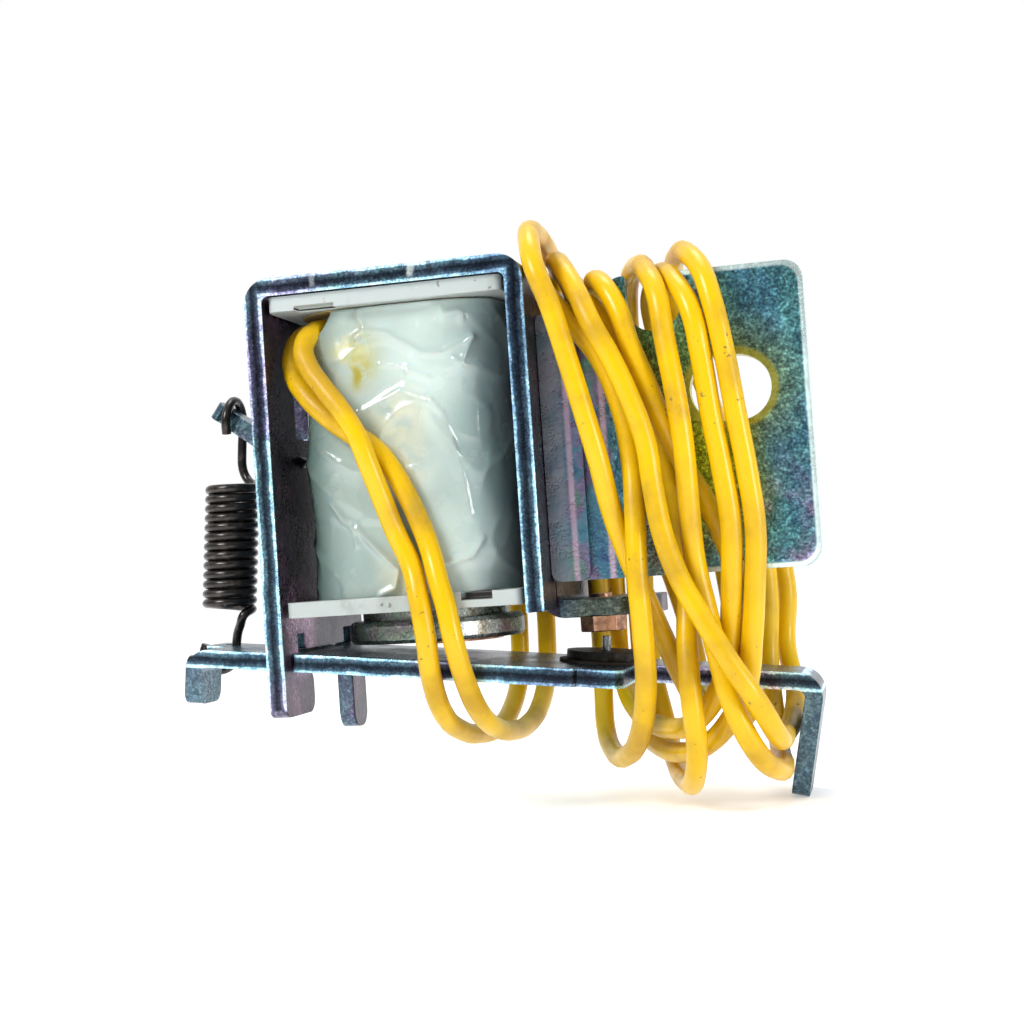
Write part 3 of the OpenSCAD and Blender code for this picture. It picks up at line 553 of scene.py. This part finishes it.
# ---------------------------------------------------------------------------------------------------
# Winding: enamelled copper wire under a first layer of amber paper, hidden by the wrap but for the gap
# where the leads leave it, with the crimped joints between wire and leads.
amber = Finish("amber_paper", Roughness=0.5)
amber.into(Base_Color=amber.mix(amber.noise(300, 4), (0.3, 0.22, 0.08), (0.5, 0.4, 0.18)))
dressed("winding", "copper_winding", amber.material, COIL, 0.1 * MM)
sleeve = Finish("splice_sleeve", Roughness=0.5)
sleeve.into(Base_Color=sleeve.mix(sleeve.noise(400), (0.7, 0.62, 0.3), (0.5, 0.42, 0.2)))
dressed("lead_splices", "splice_sleeves", sleeve.material, COIL, 0.2 * MM)

# ---------------------------------------------------------------------------------------------------
# Wrap: several turns of thin milky tape, pulled round the coil by hand. It is glossy, folded over itself
# at the foot and creased in long sharp lines, and shows amber where the leads start under it.
WRAP_HALF = 14.75
WRAP_SQUARE = 3.8
WRAP_FOOT, WRAP_HEAD = 6.35, 45.2
WRAP_WALL = 0.3
LEAST_SWELL = -0.05
LEAD_CORNER_X, LEAD_CORNER_HALF, LEAD_CORNER_DROP = -11.4, 3.4, 4.4
FOLD_X, FOLD_Z, FOLD_RADIUS, FOLD_HEIGHT = -4, 9.5, 5, 0.5
WAVES = [(0.1, 0.6, (0, 0, 0)), (0.26, 0.15, (9, 2, 5))]  # cycles a millimetre, height, offset
CRUMPLE = [(0.085, 0.4), (0.17, 0.12)]  # cycles a millimetre, height of the ridges
CREASE_WIDTH, CREASE_LIFT = 0.45, 1.5
CREASES = [  # height, and the crease's corners in X and Z
    (0.42, [(-4.3, 41.2), (-2.7, 41.9), (-0.3, 41.4), (2.5, 39.5), (4.3, 38.3), (7.1, 38), (9.2, 39),
            (10.7, 40)]),
    (0.34, [(-1.6, 37.3), (0.5, 37), (2.5, 36.1), (4.8, 35)]),
    (0.32, [(4.9, 32), (6.5, 30), (7.3, 26.8), (8, 23.8), (8.7, 21), (9.2, 16.5)]),
    (0.36, [(6.9, 44.6), (7.5, 43.2), (9.4, 43.5), (9.8, 42.4)]),
    (0.4, [(10.7, 40), (9.2, 36.6), (8.5, 37.2)]),
    (0.34, [(-4.2, 44.6), (-3.2, 42), (-4.3, 41.2)]),
    (0.36, [(-9.4, 19.4), (-7.9, 17), (-6.9, 16.2), (-6.2, 13.6)]),
    (0.4, [(-6, 15.6), (-3.4, 13), (-0.6, 9.8), (-1.2, 7.6), (-3.4, 6.6)]),
    (0.36, [(10.4, 13.4), (9.1, 11.2), (5.4, 10.2), (2.2, 8.4)]),
    (0.22, [(-11, 27), (-6, 23.4), (-2, 22.6), (3, 23.4)]),
    (0.2, [(-10, 33), (-5, 31), (1, 33.6), (4.9, 32)]),
]


def apart(x, z, start, end):
    """Distance of a point from a crease's straight run."""
    run = Vector(end) - Vector(start)
    share = min(1, max(0, (Vector((x, z)) - Vector(start)).dot(run) / run.length_squared))
    return (Vector((x, z)) - Vector(start) - run * share).length


wrap_shape = bmesh.new()
bmesh.ops.create_grid(wrap_shape, x_segments=260, y_segments=124, size=0.5)
for dot in wrap_shape.verts:
    turn_share, rise = dot.co.x, dot.co.y + 0.5
    angle = 2 * math.pi * turn_share - 0.6 * math.sin(2 * math.pi * turn_share) - math.pi / 2
    out = Vector((math.cos(angle), math.sin(angle), 0))
    reach = WRAP_HALF / (abs(out.x) ** WRAP_SQUARE + abs(out.y) ** WRAP_SQUARE) ** (1 / WRAP_SQUARE)
    x, y = out.x * reach, out.y * reach
    corner = max(0.0, 1 - abs(x - LEAD_CORNER_X) / LEAD_CORNER_HALF) * (y < 0)
    head = WRAP_HEAD - LEAD_CORNER_DROP * corner ** 0.8
    z = WRAP_FOOT + (head - WRAP_FOOT) * rise
    here = Vector((x, y, z))
    swell = sum(height * noise.noise(here * pitch + Vector(offset)) for pitch, height, offset in WAVES)
    for pitch, height in CRUMPLE:
        ridge = 1 - 2.6 * abs(noise.noise(here * pitch + Vector((2, 7, 3))))
        swell += height * max(0, ridge) ** 3
    if y < -8:
        for height, line in CREASES:
            gap = min(apart(x, z, a, b) for a, b in zip(line, line[1:]))
            swell += CREASE_LIFT * height * math.exp(-(gap / CREASE_WIDTH) ** 1.3)
    from_fold = math.hypot(x - FOLD_X, (z - FOLD_Z) * 0.8)
    swell += FOLD_HEIGHT * max(0, 1 - from_fold / FOLD_RADIUS) ** 0.6 * (y < 0)
    swell = max(swell, LEAST_SWELL)
    dot.co = at(x + out.x * swell, y + out.y * swell, z)
bmesh.ops.remove_doubles(wrap_shape, verts=wrap_shape.verts, dist=1e-6)
for face in wrap_shape.faces:
    face.smooth = True
bmesh.ops.recalc_face_normals(wrap_shape, faces=wrap_shape.faces)
wrap_mesh = bpy.data.meshes.new("tape_wrap")
wrap_shape.to_mesh(wrap_mesh)
wrap_shape.free()
wrap = bpy.data.objects.new("tape_wrap", wrap_mesh)
bpy.context.collection.objects.link(wrap)
wall = wrap.modifiers.new("tape_thickness", "SOLIDIFY")
wall.thickness = WRAP_WALL * MM
wall.offset = -1

TAPE_FRONT = -14.5
BEIGE = (0.62, 0.58, 0.42)
AMBER = (0.42, 0.35, 0.06)
tape = Finish("milky_tape", Coat_Weight=0.5, Coat_Roughness=0.05, Subsurface_Weight=0.3,
              Subsurface_Scale=0.0025)
cloud = tape.ramp(tape.noise(60, 2, 0.4), (0.3, (0.26, 0.34, 0.32)), (0.5, (0.4, 0.47, 0.44)),
                  (0.7, (0.6, 0.66, 0.62)))
folds = tape.noise(240, 3, 0.5, distortion=0.8)
for height in (30, 24, 9):
    cloud = tape.stain(cloud, (0.6, TAPE_FRONT, height), 1, 6, tape.step(folds, 0.3, 0.6) * 0.7, BEIGE)
cloud = tape.stain(cloud, (-5.4, TAPE_FRONT, 38.6), 1, 6, tape.step(folds, 0.3, 0.55), (0.5, 0.48, 0.24))
cloud = tape.stain(cloud, (-4.8, TAPE_FRONT, 36.4), 0.5, 3.2, tape.step(folds, 0.35, 0.6), AMBER)
side = tape.axis("X")
# Both sides of the wrap are painted darker, the left more: painted shade where it turns from the light.
for starts, ends, share, shade in ((-6, -13, 0.9, (0.1, 0.16, 0.14)), (6, 14, 0.6, (0.13, 0.23, 0.25))):
    side_shade = tape.step(side, at(starts, 0, 0).x, at(ends, 0, 0).x)
    cloud = tape.mix(side_shade * share, cloud, shade)
tape.into(Base_Color=cloud, Roughness=tape.step(tape.noise(150, 3), 0.35, 0.7) * 0.2 + 0.14)
tape.bump(folds, 0.24, 0.0006)
wrap_mesh.materials.append(tape.material)
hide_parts("coil_wrap")
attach(wrap, COIL)

# ---------------------------------------------------------------------------------------------------
# Return spring: close-wound music wire, oiled black. Its head is hooked over the frame's lug and its foot
# through the hole in the lever's tail, so it stretches as the lever closes.
SPRING_WIRE = 1.3
SPRING_RADIUS = 3.2
SPRING_TURNS = 13
SPRING_RISE = 1.339
SPRING_FOOT = (-29.3, -4, 6)
EYE_X, EYE_Z, EYE_RADIUS = -1.3, -6.3, 2.4
HOOK_Z = 26.4
SPRING_LEAN = math.radians(5.4)
spring_head = SPRING_TURNS * SPRING_RISE


def on_spring(x, y, z):
    lean, up = math.sin(SPRING_LEAN), math.cos(SPRING_LEAN)
    return at(SPRING_FOOT[0] + x * up + z * lean, SPRING_FOOT[1] + y, SPRING_FOOT[2] + z * up - x * lean)


def on_turn(degrees, z):
    turned = math.radians(degrees)
    return (SPRING_RADIUS * math.cos(turned), SPRING_RADIUS * math.sin(turned), z)


spring_line = [
    (EYE_X + EYE_RADIUS * math.cos(math.radians(a)), 0, EYE_Z + EYE_RADIUS * math.sin(math.radians(a)))
    for a in range(150, 361, 30)]
spring_line += [(1.3, 0, -3.6), (2.1, -0.9, -2), on_turn(-30, -0.7)]
spring_line += [on_turn(30 * k, SPRING_RISE * k / 12) for k in range(12 * SPRING_TURNS + 1)]
spring_line += [on_turn(30, spring_head + 0.3), (1.2, 2.9, spring_head + 1), (0.2, 3.2, spring_head + 2.6),
                (0, SPRING_RADIUS, spring_head + 5)]
for a in range(0, 211, 30):
    y, rise, _ = on_turn(a, 0)
    spring_line.append((0, y, HOOK_Z + rise))
spring_curve = bpy.data.curves.new("spring_line", "CURVE")
spring_curve.dimensions = "3D"
spring_curve.bevel_depth = SPRING_WIRE / 2 * MM
spring_curve.bevel_resolution = 3
spring_curve.resolution_u = 3
spring_curve.use_fill_caps = True
strand = spring_curve.splines.new("BEZIER")
strand.bezier_points.add(len(spring_line) - 1)
for knot, place in zip(strand.bezier_points, spring_line):
    knot.co = on_spring(*place)
    knot.handle_left_type = knot.handle_right_type = "AUTO"
spring_maker = bpy.data.objects.new("spring_line", spring_curve)
bpy.context.collection.objects.link(spring_maker)
seen = spring_maker.evaluated_get(bpy.context.evaluated_depsgraph_get())
spring_mesh = bpy.data.meshes.new_from_object(seen)
bpy.data.objects.remove(spring_maker)
spring_mesh.polygons.foreach_set("use_smooth", [True] * len(spring_mesh.polygons))
spring = bpy.data.objects.new("coil_spring", spring_mesh)
bpy.context.collection.objects.link(spring)

oiled = Finish("oiled_wire", Metallic=0.6, Coat_Weight=0.3, Coat_Roughness=0.2)
rub = oiled.step(oiled.noise(700, 3), 0.5, 0.75)
oiled.into(Base_Color=oiled.mix(rub, (0.02, 0.016, 0.014), (0.08, 0.06, 0.05)), Roughness=rub * 0.2 + 0.3)
oiled.bump(oiled.noise(2400, 2), 0.1, 0.0001)
spring_mesh.materials.clear()
spring_mesh.materials.append(oiled.material)
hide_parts("return_spring")
on_spring(0, 0, -2)
on_spring(0, 0, spring_head + 2)
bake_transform(spring)

# ---------------------------------------------------------------------------------------------------
# Stop screw: a hollow hexagon screw in the bracket's tab, copper flashed, which sets how far the lever
# closes. Below it a rubber bumper on a fibre washer is riveted to the lever.
dressed("stop_screw", "stop_screw_hex", copper("screw_copper", (0.85, 0.5, 0.34), (0.35, 0.18, 0.12)),
        COIL, 0.2 * MM)
rubber = Finish("bumper_rubber")
chalk = rubber.step(rubber.noise(600, 5, 0.75), 0.5, 0.72)
rubber.into(Base_Color=rubber.mix(chalk, (0.012, 0.012, 0.014), (0.1, 0.1, 0.1)),
            Roughness=chalk * 0.3 + 0.5)
rubber.bump(rubber.noise(1100, 4), 0.4, 0.0003)
dressed("bumper_pad", "rubber_bumper", rubber.material, LEVER, 0.25 * MM)
fibre = Finish("washer_fibre", Roughness=0.7)
fibre.into(Base_Color=fibre.mix(fibre.noise(900, 3), (0.02, 0.02, 0.02), (0.07, 0.06, 0.055)))
fibre.bump(fibre.noise(1500, 3), 0.3, 0.0002)
dressed("bumper_washer", "fibre_washer", fibre.material, LEVER, 0.1 * MM)
dressed("bumper_rivet", "bumper_pin", rivet_zinc.material, LEVER, 0.12 * MM)

# ---------------------------------------------------------------------------------------------------
# Floor and light: a pale floor just under the lever's end tab, a bright room behind and a dim one in
# front, which gives the plating its depth, and soft boxes at the front.
TOWARDS_BRIGHT = (0, 0.85, 0.53)
DIM, BRIGHT = 0.15, 1.0
FLOOR_HALF = 8
LIT_PLACE = (5, 0, 15)

floor_shape = bmesh.new()
bmesh.ops.create_grid(floor_shape, x_segments=1, y_segments=1, size=FLOOR_HALF)
bmesh.ops.translate(floor_shape, verts=floor_shape.verts, vec=(0, 0, cad_low.z))
floor_mesh = bpy.data.meshes.new("floor")
floor_shape.to_mesh(floor_mesh)
floor_shape.free()
floor = bpy.data.objects.new("floor", floor_mesh)
bpy.context.collection.objects.link(floor)
pale = Finish("pale_floor", Roughness=0.9, Emission_Color=(1, 1, 1, 1), Emission_Strength=0.36)
pale.into(Base_Color=pale.mix(pale.noise(20), (0.9, 0.9, 0.9), (0.93, 0.93, 0.93)))
floor_mesh.materials.append(pale.material)

world = bpy.data.worlds.new("studio")
world.use_nodes = True
sky = world.node_tree
facing = sky.nodes.new("ShaderNodeTexCoord")
bright_side = sky.nodes.new("ShaderNodeVectorMath")
bright_side.operation = "DOT_PRODUCT"
bright_side.inputs[1].default_value = TOWARDS_BRIGHT
room = sky.nodes.new("ShaderNodeMapRange")
sky.links.new(facing.outputs["Generated"], bright_side.inputs[0])
sky.links.new(bright_side.outputs["Value"], room.inputs["Value"])
for socket, value in (("From Min", -0.3), ("From Max", 0.6), ("To Min", DIM), ("To Max", BRIGHT)):
    room.inputs[socket].default_value = value
sky.links.new(room.outputs[0], sky.nodes["Background"].inputs["Strength"])
sky.nodes["Background"].inputs["Color"].default_value = (1, 1, 1, 1)
bpy.context.scene.world = world
bpy.context.scene.view_settings.view_transform = "Standard"


def soft_box(name, place, size, power):
    data = bpy.data.lights.new(name, "AREA")
    data.shape = "DISK"
    data.size = size
    data.energy = power
    lamp = bpy.data.objects.new(name, data)
    lamp.location = at(*place)
    lamp.rotation_mode = "QUATERNION"
    lamp.rotation_quaternion = (at(*LIT_PLACE) - lamp.location).to_track_quat("-Z", "Y")
    bpy.context.collection.objects.link(lamp)


soft_box("key", (-180, -280, 260), 0.14, 1.25)
soft_box("fill", (330, -180, 60), 0.12, 0.55)
soft_box("top", (20, 60, 400), 0.2, 0.5)
